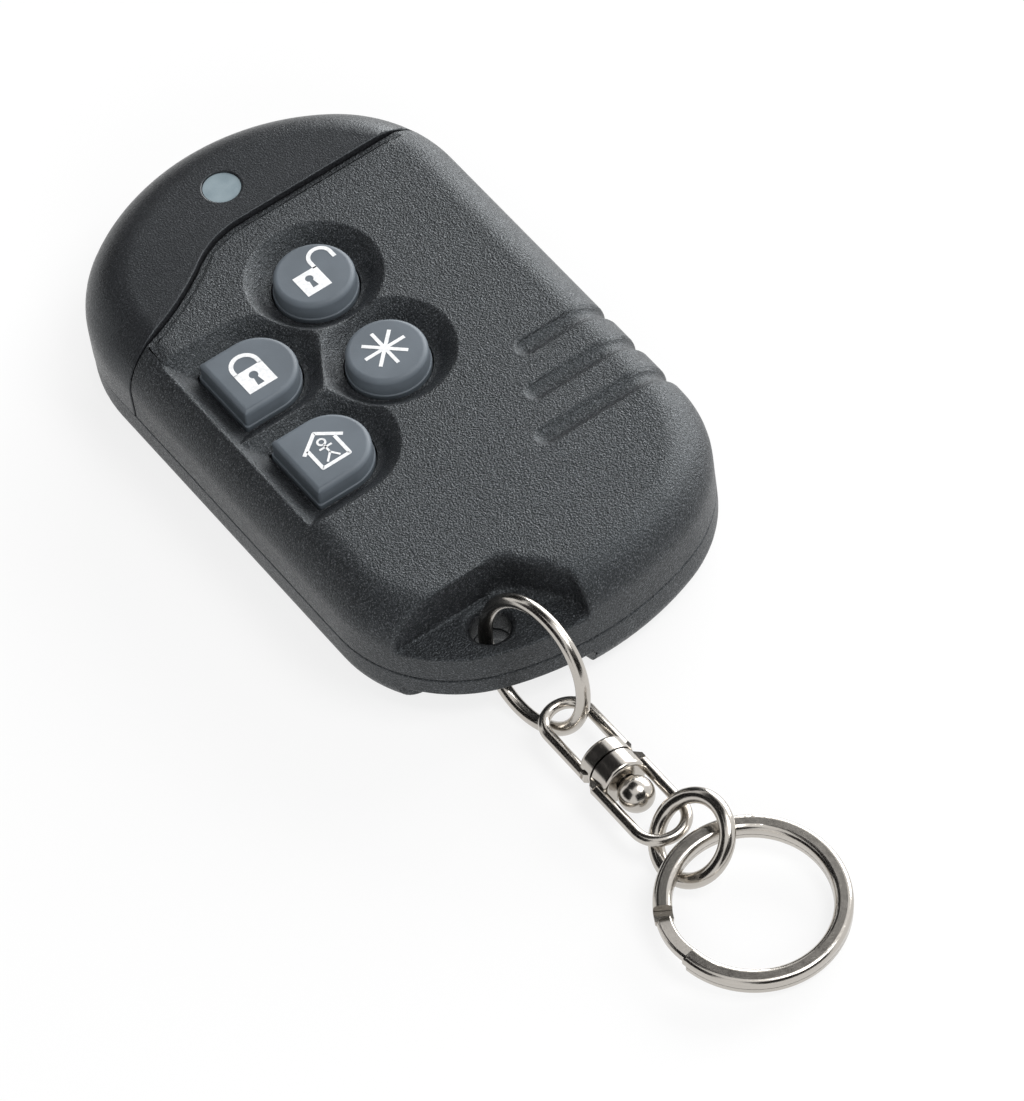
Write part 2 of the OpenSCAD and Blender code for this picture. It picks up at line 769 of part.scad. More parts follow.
module lower_link() color([0.78, 0.78, 0.8]) difference() {
    union() {
        translate([swivel_x, lower_bow_y, swivel_z])
            bow(lower_half, gap_y - swivel_gap - leg_sink - shoulder - lower_bow_y);
        translate([swivel_x, gap_y - swivel_gap, swivel_z])
            swivel_end(lower_half, lower_collar_r, lower_collar_l);
    }
    translate([swivel_x, gap_y + cut, swivel_z]) rotate([90, 0, 0])
        cylinder(h = plate_t + lower_collar_l + 3 * cut, r = shank_r + fit_gap);
}

module small_ring() color([0.8, 0.8, 0.82]) translate(small_c)
    rotate([0, -small_tilt, 0]) rotate_extrude() translate([small_r, 0]) circle(d = small_wire);

// Piece of wire of the split ring, from angle a0 over angle a1, with edges rounded above and below
module turn(a0, a1, slim, above, below) {
    rotate([0, 0, a0]) rotate_extrude(angle = a1) translate([split_rm, 0])
        full_section(split_w / 2 - slim, 0, split_turn, above, below);
}

module split_ring() color([0.8, 0.8, 0.82]) translate(split_c)
    rotate([split_far_up, split_side, 0]) rotate([0, 0, split_start]) {
        step = split_turn + split_gap;
        ramp = 18;
        rise = atan(step / (2 * split_rm * sin(ramp)));
        turn(19, 325, 0, 0, split_round);
        translate([0, 0, step]) turn(16, 321, 0, split_round, 0);
        translate([0, 0, step / 2 + split_turn / 2]) rotate([rise, 0, 0]) translate([0, 0, -split_turn / 2])
            turn(-ramp, 2 * ramp, split_slim, ramp_round, ramp_round);
    }

front_cover();
end_cap();
rear_cover();
light_pipe();
keypad_mat();
key_unlock();
key_lock();
key_star();
key_home();
circuit_board();
dome_unlock();
dome_lock();
dome_star();
dome_home();
led();
control_chip();
resonator();
chip_parts();
antenna_loop();
coin_cell();
cell_clip();
cell_pad();
jump_ring();
upper_link();
swivel_rivet();
lower_link();
small_ring();
split_ring();
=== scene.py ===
# %% [markdown]
# # An alarm key fob, dressed for a product picture
# The solids of this key fob come packed from CAD, in metres, lying on the flat rear face.
# This lesson gives them the surfaces that a camera sees: moulded plastic, silicone keys with
# printed signs, a frosted lens and a nickel-plated chain. First the imported part is loaded.
# Nothing that is added here may change the object's size.

import json
import math

import bmesh
import bpy
import numpy as np
from mathutils import Matrix, Vector, kdtree


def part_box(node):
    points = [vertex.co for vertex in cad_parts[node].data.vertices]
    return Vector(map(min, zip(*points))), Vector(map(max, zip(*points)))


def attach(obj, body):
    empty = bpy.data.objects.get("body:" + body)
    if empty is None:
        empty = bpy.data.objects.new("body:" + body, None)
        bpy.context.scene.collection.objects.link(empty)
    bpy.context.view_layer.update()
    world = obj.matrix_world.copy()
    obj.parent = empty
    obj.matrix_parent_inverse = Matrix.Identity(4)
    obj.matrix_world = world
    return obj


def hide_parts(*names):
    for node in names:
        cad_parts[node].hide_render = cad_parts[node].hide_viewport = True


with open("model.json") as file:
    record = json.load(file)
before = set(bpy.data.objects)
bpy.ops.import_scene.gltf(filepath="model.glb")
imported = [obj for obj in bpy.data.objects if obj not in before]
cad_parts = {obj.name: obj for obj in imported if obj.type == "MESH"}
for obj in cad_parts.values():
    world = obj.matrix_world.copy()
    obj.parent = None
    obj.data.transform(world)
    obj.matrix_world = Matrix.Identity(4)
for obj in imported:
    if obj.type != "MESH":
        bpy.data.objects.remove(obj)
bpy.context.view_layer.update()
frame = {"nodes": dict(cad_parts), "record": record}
cad = frame["nodes"]
MM = 0.001

# %% [markdown]
# ## Writing node trees as sums
# Materials and Geometry Nodes are graphs, but long chains of Math nodes are hard to read as code.
# A small class that holds one socket can overload the arithmetic signs, so that
# `0.3 + 0.4 * mask` adds the right Math nodes by itself. Every other node comes from one method,
# which sets the node's settings first and then fills or links its sockets.


# %% A socket that does arithmetic
class Wire:
    """One output socket of a node tree."""

    def __init__(self, bench, socket):
        self.bench, self.socket = bench, socket

    def pair(self, operation, other):
        return self.bench.node("ShaderNodeMath", {"operation": operation}, {0: self, 1: other})

    def __add__(self, other):
        return self.pair("ADD", other)

    def __sub__(self, other):
        return self.pair("SUBTRACT", other)

    def __mul__(self, other):
        return self.pair("MULTIPLY", other)

    def __truediv__(self, other):
        return self.pair("DIVIDE", other)

    __radd__ = __add__
    __rmul__ = __mul__

    def high(self, other):
        """The larger of two values."""
        return self.pair("MAXIMUM", other)

    def ramp(self, start, end):
        """0 before start, 1 after end, smooth between them."""
        return self.bench.node(
            "ShaderNodeMapRange",
            {"interpolation_type": "SMOOTHSTEP"},
            {"Value": self, "From Min": start, "From Max": end},
        )

    def out(self, name):
        """Another output of the same node."""
        return Wire(self.bench, self.socket.node.outputs[name])


print("Wire is ready")

# %% A bench that adds nodes
MIX_FACTOR, MIX_A, MIX_B, MIX_RESULT = 0, 6, 7, 2  # places of a Mix node's colour sockets


class Bench:
    """Adds nodes to one tree."""

    def __init__(self, tree):
        self.tree = tree

    def fill(self, socket, value):
        """Links a wire to an input socket, or sets a plain value on it."""
        if isinstance(value, Wire):
            self.tree.links.new(value.socket, socket)
        else:
            socket.default_value = value

    def node(self, kind, settings=None, values=None):
        made = self.tree.nodes.new(kind)
        for name, value in (settings or {}).items():
            setattr(made, name, value)
        for key, value in (values or {}).items():
            self.fill(made.inputs[key], value)
        return Wire(self, made.outputs[0] if made.outputs else None)

    def mix(self, factor, a, b):
        """A colour between a and b."""
        made = self.tree.nodes.new("ShaderNodeMix")
        made.data_type = "RGBA"
        for index, value in ((MIX_FACTOR, factor), (MIX_A, a), (MIX_B, b)):
            self.fill(made.inputs[index], value)
        return Wire(self, made.outputs[MIX_RESULT])


print("Bench is ready")

# %% [markdown]
# ## Finishes
# The object's materials read Object coordinates, so a grain keeps its real size in millimetres on
# each piece. Only what changes over the surface goes through nodes. Numbers that are the same all
# over, such as a coat's weight, are set on the shader itself.


# %% Helpers that start a material and add the usual nodes
def empty_material(name):
    material = bpy.data.materials.new(name)
    material.use_nodes = True
    material.node_tree.nodes.clear()
    return material, Bench(material.node_tree)


def start_material(name, **fixed):
    """A new material with its shader, and the numbers that are the same all over."""
    material, bench = empty_material(name)
    shader = bench.node("ShaderNodeBsdfPrincipled")
    for socket, value in fixed.items():
        shader.socket.node.inputs[socket.replace("_", " ")].default_value = value
    bench.node("ShaderNodeOutputMaterial", values={"Surface": shader})
    return material, bench, shader.socket.node.inputs


def place_on(bench):
    return bench.node("ShaderNodeTexCoord").out("Object")


def noise(bench, where, cell_mm, detail=2.0, rough=0.5):
    """Noise with lumps of about cell_mm."""
    values = {"Vector": where, "Scale": 1 / (cell_mm * MM), "Detail": detail, "Roughness": rough}
    return bench.node("ShaderNodeTexNoise", values=values)


def bump(bench, height, depth_mm):
    values = {"Height": height, "Distance": depth_mm * MM, "Strength": 1.0}
    return bench.node("ShaderNodeBump", values=values)


def grey(level):
    return (level, level, level, 1)


def dimmed(colour, share):
    return tuple(c * share for c in colour[:3]) + (1,)


print("material helpers are ready")

# %% [markdown]
# ### Moulded plastic
# The covers are black plastic from a spark-eroded mould, which leaves a fine grain that glitters
# a little. The end cap has a shallower, more even grain. One function makes both: a pebbled bump,
# smoother tops on the pebbles, which catch the lamps, a painted highlight that makes those tops
# lighter in colour, and fine pale specks in the colour as painted glints. A slow drift over the
# whole piece keeps the grain from looking printed.

# %% Moulded plastic for the covers and the end cap
COOL_GLOSS = (0.86, 0.95, 1.0, 1)
DRIFT_MM, PAINTED_GLINT_MM = 14.0, 0.13
PEBBLE_TOP, PAINTED_GLINT_EDGE = (0.42, 0.68), (0.58, 0.68)  # where the noise turns into tops and specks
TOP_LEAST, TOP_DRIFT = 0.7, 0.6
ROUGH_DRIFT, SMOOTHER_TOP = 0.10, 0.16


def moulded_plastic(name, dark, light, painted_glint, grain_mm, depth_mm, rough):
    material, bench, shader = start_material(name, IOR=1.45, Specular_Tint=COOL_GLOSS)
    where = place_on(bench)
    pebble = noise(bench, where, grain_mm, rough=0.65)
    drift = noise(bench, where, DRIFT_MM)
    top = pebble.ramp(*PEBBLE_TOP)
    # painted highlight: the pebble tops are lighter in colour, as if they caught the lamps
    plain = bench.mix(top * (TOP_LEAST + TOP_DRIFT * drift), dark, light)
    # painted glints: fine pale specks mixed into the colour
    speck = noise(bench, where, PAINTED_GLINT_MM, detail=1.0).ramp(*PAINTED_GLINT_EDGE)
    bench.fill(shader["Base Color"], bench.mix(speck, plain, painted_glint))
    bench.fill(shader["Roughness"], rough + ROUGH_DRIFT * (drift - 0.5) - SMOOTHER_TOP * top)
    bench.fill(shader["Normal"], bump(bench, pebble, depth_mm))
    return material


cover_plastic = moulded_plastic(
    "cover_plastic", dark=(0.006, 0.0064, 0.007, 1), light=(0.030, 0.032, 0.036, 1),
    painted_glint=(0.085, 0.090, 0.096, 1), grain_mm=0.175, depth_mm=0.115, rough=0.43,
)
cap_plastic = moulded_plastic(
    "cap_plastic", dark=(0.009, 0.0093, 0.0105, 1), light=(0.022, 0.023, 0.026, 1),
    painted_glint=(0.040, 0.042, 0.046, 1), grain_mm=0.18, depth_mm=0.04, rough=0.40,
)
print("plastics:", cover_plastic.name, cap_plastic.name)


# %% [markdown]
# ### Silicone, lens and print
# The keys are slate-grey silicone with a dry, even sheen. The indicator lens is frosted plastic
# with a faint cloud in it. The signs are white ink that has worn a little. Soft noise gives each
# of them a second tone, because one flat colour would look like paint.


# %% Silicone for the keys and the mat under them
def silicone(name, colour, rough):
    material, bench, shader = start_material(name, Specular_IOR_Level=0.35)
    where = place_on(bench)
    drift = noise(bench, where, cell_mm=5.0, detail=3.0)
    grain = noise(bench, where, cell_mm=0.12)
    shade = bench.mix(drift.ramp(0.3, 0.7), dimmed(colour, 0.82), colour)
    bench.fill(shader["Base Color"], shade)
    bench.fill(shader["Roughness"], rough + 0.1 * (grain - 0.5))
    bench.fill(shader["Normal"], bump(bench, grain, depth_mm=0.006))
    return material


key_silicone = silicone("key_silicone", (0.125, 0.147, 0.170, 1), rough=0.52)
mat_silicone = silicone("mat_silicone", (0.10, 0.11, 0.125, 1), rough=0.6)
print("silicones:", key_silicone.name, mat_silicone.name)

# %% Frosted lens and white ink
LENS_DARK, LENS_LIGHT = (0.19, 0.245, 0.275, 1), (0.24, 0.30, 0.33, 1)
INK_WORN, INK_FRESH = (0.74, 0.75, 0.76, 1), (0.86, 0.87, 0.88, 1)


def frosted_lens():
    material, bench, shader = start_material("frosted_lens", Specular_IOR_Level=0.5)
    where = place_on(bench)
    cloud = noise(bench, where, cell_mm=1.6, detail=3.0)
    bench.fill(shader["Base Color"], bench.mix(cloud.ramp(0.3, 0.75), LENS_DARK, LENS_LIGHT))
    bench.fill(shader["Roughness"], 0.28 + 0.1 * cloud)
    frost = noise(bench, where, cell_mm=0.1)
    bench.fill(shader["Normal"], bump(bench, frost, depth_mm=0.004))
    return material


def white_ink():
    material, bench, shader = start_material("white_ink")
    wear = noise(bench, place_on(bench), cell_mm=0.35, detail=3.0)
    bench.fill(shader["Base Color"], bench.mix(wear.ramp(0.35, 0.6), INK_WORN, INK_FRESH))
    bench.fill(shader["Roughness"], 0.5 + 0.1 * wear)
    return material


lens_plastic, sign_ink = frosted_lens(), white_ink()
print("lens and ink:", lens_plastic.name, sign_ink.name)

# %% [markdown]
# ### Plated metal
# The chain is steel wire with bright nickel plate. Tumbling in a barrel leaves very shallow
# waves and hairline scratches, so the gloss is not perfect. The scratches are noise that is
# squeezed along two axes, which draws it out along the third.

# %% Plated metals
SCRATCH_SQUEEZE = (1, 9, 9)


def plated(name, colour, rough, wave_mm):
    material, bench, shader = start_material(name, Metallic=1.0)
    where = place_on(bench)
    wave = noise(bench, where, cell_mm=1.1)
    drawn = bench.node("ShaderNodeMapping", values={"Vector": where, "Scale": SCRATCH_SQUEEZE})
    scratch = noise(bench, drawn, cell_mm=0.6, detail=4.0, rough=0.7).ramp(0.55, 0.75)
    bench.fill(shader["Base Color"], bench.mix(scratch * 0.6, colour, dimmed(colour, 0.8)))
    bench.fill(shader["Roughness"], rough + 0.08 * wave + 0.1 * scratch)
    bench.fill(shader["Normal"], bump(bench, wave + 0.1 * scratch, wave_mm))
    return material


nickel = plated("bright_nickel", (0.52, 0.49, 0.45, 1), rough=0.15, wave_mm=0.008)
can_steel = plated("can_steel", (0.62, 0.62, 0.63, 1), rough=0.3, wave_mm=0.01)
spring_brass = plated("spring_brass", (0.76, 0.66, 0.42, 1), rough=0.28, wave_mm=0.01)
tinned_copper = plated("tinned_copper", (0.74, 0.45, 0.26, 1), rough=0.25, wave_mm=0.01)
print("metals:", nickel.name, can_steel.name, spring_brass.name, tinned_copper.name)

# %% [markdown]
# ### Sealed electronics
# The board and its parts are shut inside the covers. They get plain, true finishes all the same,
# for anyone who takes the covers off.

# %% Finishes of the sealed electronics
WEAVE_SCALE = 900.0
MASK_DARK, MASK_LIGHT = (0.012, 0.10, 0.035, 1), (0.022, 0.16, 0.06, 1)


def solder_mask():
    material, bench, shader = start_material("solder_mask", Coat_Weight=0.3)
    where = place_on(bench)
    weave = bench.node("ShaderNodeTexBrick", values={"Vector": where, "Scale": WEAVE_SCALE})
    cloud = noise(bench, where, cell_mm=3.0, detail=3.0)
    bench.fill(shader["Base Color"], bench.mix(cloud, MASK_DARK, MASK_LIGHT))
    bench.fill(shader["Roughness"], 0.34 + 0.12 * cloud)
    bench.fill(shader["Normal"], bump(bench, weave.out("Fac"), depth_mm=0.01))
    return material


def speckled(name, dark, light, rough):
    material, bench, shader = start_material(name)
    speck = noise(bench, place_on(bench), cell_mm=0.2, detail=3.0)
    bench.fill(shader["Base Color"], bench.mix(speck.ramp(0.4, 0.65), dark, light))
    bench.fill(shader["Roughness"], rough + 0.1 * speck)
    bench.fill(shader["Normal"], bump(bench, speck, depth_mm=0.006))
    return material


board_mask = solder_mask()
chip_epoxy = speckled("chip_epoxy", (0.012, 0.012, 0.013, 1), (0.03, 0.03, 0.032, 1), 0.45)
chip_ceramic = speckled("tan_ceramic", (0.34, 0.25, 0.15, 1), (0.5, 0.4, 0.27, 1), 0.4)
led_resin = speckled("led_resin", (0.78, 0.78, 0.72, 1), (0.88, 0.88, 0.84, 1), 0.15)
print("inner finishes:", board_mask.name, chip_epoxy.name, chip_ceramic.name, led_resin.name)

# %% [markdown]
# ### One finish for each piece
# On the real fob each piece is moulded, stamped or wound from one material, so each CAD node gets
# one finish. A single table keeps the whole choice in view.

# %% Give each CAD node its finish
KEY_SIGNS = ("unlock", "lock", "star", "home")
KEY_NODES = ["key_" + sign for sign in KEY_SIGNS]
finishes = {
    cover_plastic: ["front_cover", "rear_cover"],
    cap_plastic: ["end_cap"],
    lens_plastic: ["light_pipe"],
    mat_silicone: ["keypad_mat"],
    key_silicone: KEY_NODES,
    board_mask: ["circuit_board"],
    can_steel: ["dome_" + sign for sign in KEY_SIGNS] + ["resonator", "coin_cell"],
    spring_brass: ["cell_clip", "cell_pad"],
    tinned_copper: ["antenna_loop"],
    chip_epoxy: ["control_chip"],
    chip_ceramic: ["chip_parts"],
    led_resin: ["led"],
    nickel: ["jump_ring", "upper_link", "swivel_rivet", "lower_link", "small_ring", "split_ring"],
}
for finish, nodes in finishes.items():
    for node in nodes:
        cad[node].data.materials.clear()
        cad[node].data.materials.append(finish)
print("dressed:", sum(len(nodes) for nodes in finishes.values()), "of", len(cad))

# %% [markdown]
# ## Soft edges
# A mould never has a perfectly sharp edge, but CAD edges are sharp. So each cover and each key
# gets a copy of its CAD mesh with its sharp edges rounded. The chain's wire and rings are round in
# CAD already and keep their meshes. A CAD mesh is loose triangles at first. Merging them lets the
# bevel find the edges, joining flat triangles keeps the bevel even, and weighted normals keep
# large faces flat right up to the rounding. Vertices and edges are kept in lists and dictionaries,
# which have a fixed order, so each run makes the same mesh.

# %% Merging, joining and rounding
SHARP_DEG, FLAT_DEG = 25, 0.3
WELD_MM, SHORT_MM = 0.001, 0.06


def sharp_edges(bm):
    limit = math.radians(SHARP_DEG)
    return [e for e in bm.edges if len(e.link_faces) == 2 and e.calc_face_angle(0) > limit]


def round_edges(bm, edges, width_mm, segments):
    bmesh.ops.bevel(
        bm, geom=edges, offset=width_mm * MM, offset_type="OFFSET", segments=segments,
        profile=0.5, affect="EDGES", clamp_overlap=False, miter_outer="ARC", loop_slide=True,
    )


def join_flat(bm, leave=()):
    """Joins faces that lie in one plane, except at the vertices in leave."""
    verts = [v for v in bm.verts if v not in leave]
    edges = [e for e in bm.edges if not any(v in leave for v in e.verts)]
    limit = math.radians(FLAT_DEG)
    bmesh.ops.dissolve_limit(bm, angle_limit=limit, verts=verts, edges=edges)


def merged(mesh):
    """The mesh with its loose triangles joined, and the shortest edges along its rims closed up."""
    bm = bmesh.new()
    bm.from_mesh(mesh)
    bmesh.ops.remove_doubles(bm, verts=bm.verts, dist=WELD_MM * MM)
    short = [e for e in sharp_edges(bm) if e.calc_length() < SHORT_MM * MM]
    ends = dict.fromkeys(v for e in short for v in e.verts)
    bmesh.ops.remove_doubles(bm, verts=list(ends), dist=SHORT_MM * MM)
    join_flat(bm)
    return bm


print("edge helpers are ready")

# %% A copy of a CAD node with rounded edges
SHADE_DEG, FACE_WEIGHT = 50, 90


def body_of(node):
    for name, nodes in frame["record"]["behaviour"]["bodies"].items():
        if node in nodes:
            return name
    raise ValueError(node)


def finished_mesh(bm, name):
    mesh = bpy.data.meshes.new(name)
    bm.to_mesh(mesh)
    bm.free()
    return mesh


def add_object(name, data):
    made = bpy.data.objects.new(name, data)
    bpy.context.scene.collection.objects.link(made)
    return made


def plain_mesh(piece):
    """Turns a piece with modifiers into a plain mesh."""
    graph = bpy.context.evaluated_depsgraph_get()
    piece.data = bpy.data.meshes.new_from_object(piece.evaluated_get(graph))
    piece.modifiers.clear()


def soft_copy(node, piece_name, passes, last_step=None):
    """passes: (test on an edge, width in mm, segments), one after the other."""
    bm = merged(cad[node].data)
    for test, width_mm, segments in passes:
        round_edges(bm, [e for e in sharp_edges(bm) if test(e)], width_mm, segments)
    if last_step:
        last_step(bm)
    for face in bm.faces:
        face.smooth = True
    mesh = finished_mesh(bm, piece_name)
    mesh.materials.append(cad[node].data.materials[0])
    mesh.set_sharp_from_angle(angle=math.radians(SHADE_DEG))
    piece = add_object(piece_name, mesh)
    even = piece.modifiers.new("even_light", "WEIGHTED_NORMAL")
    even.keep_sharp, even.weight = True, FACE_WEIGHT
    plain_mesh(piece)
    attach(piece, body_of(node))
    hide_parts(node)
    return piece


# %% [markdown]
# ### The scoop round the ring eye
# The hollow for the ring is softer than the other edges, and its rim runs out over the rounded
# shoulder, where a bevel would tear. So the mesh there is cut along a fine grid, and the points
# near the sharp lines are pulled to the mean of their neighbours a few times, as a toolmaker
# stones a mould smooth. All sizes and places here are in millimetres.

# %% Which edges belong to the scoop
SCOOP_LOW, SCOOP_HIGH = (-19.0, -32.5, 6.6), (3.0, -19.5, 12.6)
RIM_Z = 8.0
EYE, EYE_CLEAR = Vector((-8.6, -26.7)), 2.9
STOP_Z, LEVEL_MM = 9.8, 0.01


def in_scoop(place):
    inside = all(low < c < high for low, c, high in zip(SCOOP_LOW, place, SCOOP_HIGH))
    return inside and (place.xy - EYE).length > EYE_CLEAR


def scoop_edge(edge):
    """The rim and the hollow corners, but not the floor's outer edge."""
    middle = (edge.verts[0].co + edge.verts[1].co) / 2 / MM
    return in_scoop(middle) and (middle.z > RIM_Z or not edge.is_convex)


def elsewhere(edge):
    """All but the scoop, and the narrow steps inside the cover that stop the keys' flanges."""
    key_stop = all(abs(v.co.z / MM - STOP_Z) < LEVEL_MM for v in edge.verts)
    return not scoop_edge(edge) and not key_stop


print("the scoop lies between", SCOOP_LOW, "and", SCOOP_HIGH)

# %% A grid cut and a few rounds of smoothing
GRID_MM, ON_PLANE_MM, SPOT_MM = 0.4, 0.02, 0.2
REACH_MM, ROUNDS = 1.0, 12
PULL, PULL_RISE = 0.5, 1.6


def cut_grid(bm):
    for axis in range(3):
        normal = [float(axis == i) for i in range(3)]
        steps = int((SCOOP_HIGH[axis] - SCOOP_LOW[axis]) / GRID_MM)
        for step in range(steps + 1):
            at = (SCOOP_LOW[axis] + step * GRID_MM) * MM
            inside = [v for v in bm.verts if in_scoop(v.co / MM)]
            faces = dict.fromkeys(f for v in inside for f in v.link_faces)
            parts = dict(faces)
            for face in faces:
                parts.update(dict.fromkeys([*face.edges, *face.verts]))
            bmesh.ops.bisect_plane(
                bm, geom=list(parts), dist=ON_PLANE_MM * MM,
                plane_co=[at * n for n in normal], plane_no=normal,
            )


def nearest_line(edges):
    """A search tree with a spot every SPOT_MM along the edges."""
    spots = []
    for edge in edges:
        a, b = (v.co / MM for v in edge.verts)
        count = max(2, int((b - a).length / SPOT_MM))
        spots += [a.lerp(b, i / count) for i in range(count + 1)]
    near = kdtree.KDTree(len(spots))
    for index, spot in enumerate(spots):
        near.insert(spot, index)
    near.balance()
    return near


def soften_scoop(bm):
    lines = [e for e in sharp_edges(bm) if scoop_edge(e)]
    near = nearest_line(lines)
    around = [f for f in bm.faces if any(in_scoop(v.co / MM) for v in f.verts)]
    bmesh.ops.triangulate(bm, faces=around)
    cut_grid(bm)
    pull = {}
    for vert in bm.verts:
        place = vert.co / MM
        if in_scoop(place):
            share = 1 - near.find(place)[2] / REACH_MM
            if share > 0:
                pull[vert] = min(1.0, PULL_RISE * share) * PULL
    for _ in range(ROUNDS):
        moved = {}
        for vert, share in pull.items():
            others = [e.other_vert(vert).co for e in vert.link_edges]
            moved[vert] = vert.co.lerp(sum(others, Vector()) / len(others), share)
        for vert, place in moved.items():
            vert.co = place
    join_flat(bm, pull)
    print("scoop:", len(lines), "sharp edges,", len(pull), "points smoothed")


print("grid of", GRID_MM, "mm,", ROUNDS, "rounds")

# %% [markdown]
# ### Covers and keys
# The hard covers have small roundings. The soft keys have wider upright corners, and fine
# roundings elsewhere. The widths are in millimetres, and each pass rounds only the edges that its
# test picks.

# %% Soft edges of the covers and the keys
COVER_EDGE, CAP_EDGE, KEY_CORNER, KEY_EDGE = 0.18, 0.15, 0.3, 0.06
EDGE_STEPS, CORNER_STEPS = 2, 3
UPRIGHT = 0.9


def anywhere(edge):
    return True


def upright(edge):
    along = (edge.verts[1].co - edge.verts[0].co).normalized()
    return abs(along.z) > UPRIGHT


softened = [
    soft_copy("front_cover", "front_shell", [(elsewhere, COVER_EDGE, EDGE_STEPS)], soften_scoop),
    soft_copy("end_cap", "cap_shell", [(anywhere, CAP_EDGE, EDGE_STEPS)]),
    soft_copy("rear_cover", "rear_shell", [(anywhere, COVER_EDGE, EDGE_STEPS)]),
]
key_passes = [(upright, KEY_CORNER, CORNER_STEPS), (anywhere, KEY_EDGE, EDGE_STEPS)]
for sign, node in zip(KEY_SIGNS, KEY_NODES):
    softened.append(soft_copy(node, sign + "_button", key_passes))
for piece in softened:
    print(piece.name, len(piece.data.polygons), "faces")

# %% [markdown]
# ## Signs on the keys
# The signs are white ink, printed on the key tops: an open padlock, a closed padlock, a star and a
# house with a figure. A line that follows a path suits Geometry Nodes: the path is a mesh of plain
# edges, and the tree sweeps a flat band of ink along it. Filled shapes and the star's repeated arms
# share a second tree, which turns copies round the middle and gives them the ink's thickness.

# %% A tree that sweeps ink along a path
INK_MM, INK_SINK_MM, INK_WELD_MM = 0.03, 0.005, 0.002
CORNER_POINTS = 4


def new_tree(name, sockets):
    tree = bpy.data.node_groups.new(name, "GeometryNodeTree")
    tree.interface.new_socket("Geometry", in_out="INPUT", socket_type="NodeSocketGeometry")
    for label, kind in sockets:
        tree.interface.new_socket(label, in_out="INPUT", socket_type=kind)
    tree.interface.new_socket("Geometry", in_out="OUTPUT", socket_type="NodeSocketGeometry")
    bench = Bench(tree)
    return tree, bench, bench.node("NodeGroupInput")


def close_tree(bench, shape, material):
    plain = bench.node("GeometryNodeRealizeInstances", values={"Geometry": shape})
    inked = bench.node("GeometryNodeSetMaterial", values={"Geometry": plain, "Material": material})
    bench.node("NodeGroupOutput", values={"Geometry": inked})


def stroke_tree():
    labels = ("Stroke width", "Ink height", "Corner radius")
    tree, bench, given = new_tree("ink_strokes", [(label, "NodeSocketFloat") for label in labels])
    path = bench.node("GeometryNodeMeshToCurve", values={"Mesh": given.out("Geometry")})
    corner = {"Count": CORNER_POINTS, "Radius": given.out("Corner radius"), "Limit Radius": True}
    rounded = bench.node("GeometryNodeFilletCurve", {"mode": "POLY"}, {"Curve": path, **corner})
    level = bench.node("GeometryNodeSetCurveNormal", {"mode": "Z_UP"}, {"Curve": rounded})
    band = bench.node(
        "GeometryNodeCurvePrimitiveQuadrilateral",
        values={"Width": given.out("Stroke width"), "Height": given.out("Ink height")},
    )
    swept = bench.node(
        "GeometryNodeCurveToMesh", values={"Curve": level, "Profile Curve": band, "Fill Caps": True}
    )
    close_tree(bench, swept, sign_ink)
    return tree


ink_strokes = stroke_tree()
print("tree:", ink_strokes.name)


# %% A tree that repeats a flat shape round the middle and thickens it
def weld(bench, shape):
    values = {"Geometry": shape, "Distance": INK_WELD_MM * MM}
    return bench.node("GeometryNodeMergeByDistance", values=values)


def plate_tree():
    sizes = [("Copies", "NodeSocketInt"), ("Ink height", "NodeSocketFloat")]
    tree, bench, given = new_tree("ink_plates", sizes)
    points = bench.node(
        "GeometryNodeMeshLine", values={"Count": given.out("Copies"), "Offset": (0, 0, 0)}
    )
    turn = bench.node("GeometryNodeInputIndex") * (2 * math.pi) / given.out("Copies")
    spin = bench.node("ShaderNodeCombineXYZ", values={"Z": turn})
    copies = bench.node(
        "GeometryNodeInstanceOnPoints",
        values={"Points": points, "Instance": given.out("Geometry"), "Rotation": spin},
    )
    flat = bench.node("GeometryNodeRealizeInstances", values={"Geometry": copies})
    joined = weld(bench, flat)
    raised = bench.node(
        "GeometryNodeExtrudeMesh",
        values={"Mesh": joined, "Offset Scale": given.out("Ink height"), "Individual": False},
    )
    under = bench.node("GeometryNodeFlipFaces", values={"Mesh": joined})
    both = bench.node("GeometryNodeJoinGeometry", values={"Geometry": raised})
    bench.fill(both.socket.node.inputs["Geometry"], under)
    close_tree(bench, weld(bench, both), sign_ink)
    return tree


ink_plates = plate_tree()
print("tree:", ink_plates.name)


# %% Turning paths and outlines into ink
def run_tree(mesh, tree, sizes):
    """The plain mesh that a tree makes from a mesh."""
    holder = add_object("ink_holder", mesh)
    modifier = holder.modifiers.new("ink", "NODES")
    modifier.node_group = tree
    for item in tree.interface.items_tree:
        if item.in_out == "INPUT" and item.name in sizes:
            modifier[item.identifier] = sizes[item.name]
    plain_mesh(holder)
    made = holder.data
    bpy.data.objects.remove(holder)
    return made


def strokes(paths, width_mm, corner_mm=0.1):
    """paths: lists of points in mm. A path whose last point is its first is closed."""
    verts, edges = [], []
    for points in paths:
        ring = points[0] == points[-1]
        points = points[:-1] if ring else points
        first = len(verts)
        verts += [(x * MM, y * MM, INK_MM / 2 * MM) for x, y in points]
        edges += [(first + i, first + i + 1) for i in range(len(points) - 1)]
        if ring:
            edges.append((len(verts) - 1, first))
    mesh = bpy.data.meshes.new("paths")
    mesh.from_pydata(verts, edges, [])
    sizes = {
        "Stroke width": width_mm * MM, "Ink height": INK_MM * MM, "Corner radius": corner_mm * MM,
    }
    return run_tree(mesh, ink_strokes, sizes)


